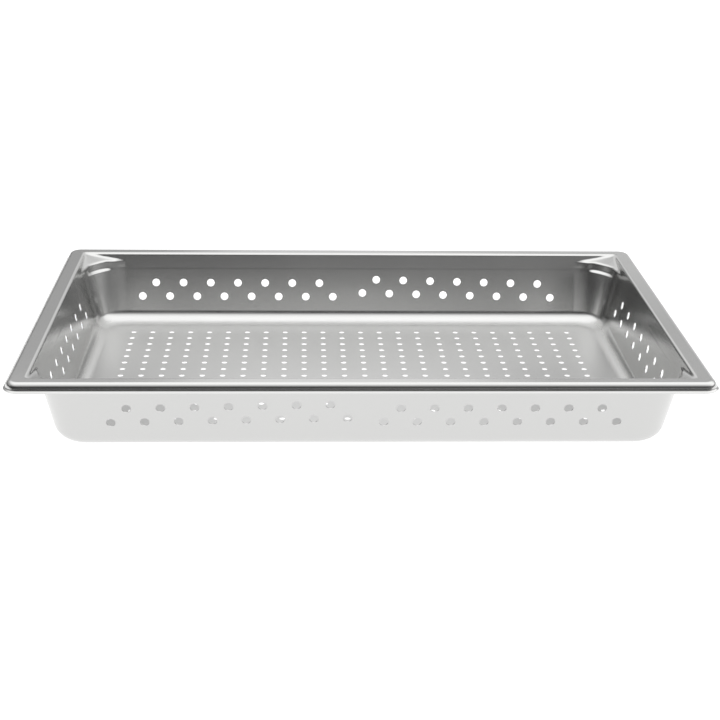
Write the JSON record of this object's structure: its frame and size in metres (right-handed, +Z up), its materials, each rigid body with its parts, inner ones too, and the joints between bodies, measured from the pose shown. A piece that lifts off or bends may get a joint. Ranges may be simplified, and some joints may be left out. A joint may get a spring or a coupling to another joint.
{
  "type": "perforated steam pan",
  "caption": "Shallow rectangular stainless steel pan with drafted walls, a flat rim with a rolled edge and sunk corner ramps, and round drain holes through its floor and walls.",
  "frame": {"origin": "centre of the flat underside of the floor, which the pan stands on", "axes": "+Z up, out of the open top; +X along the length; +Y along the width"},
  "size_m": [0.53, 0.3238, 0.0635],
  "materials": {
    "stainless_steel": "satin stainless steel, drawn and lightly buffed"
  },
  "bodies": {
    "root": {"perforated_pan": "stainless_steel"}
  },
  "joints": []
}
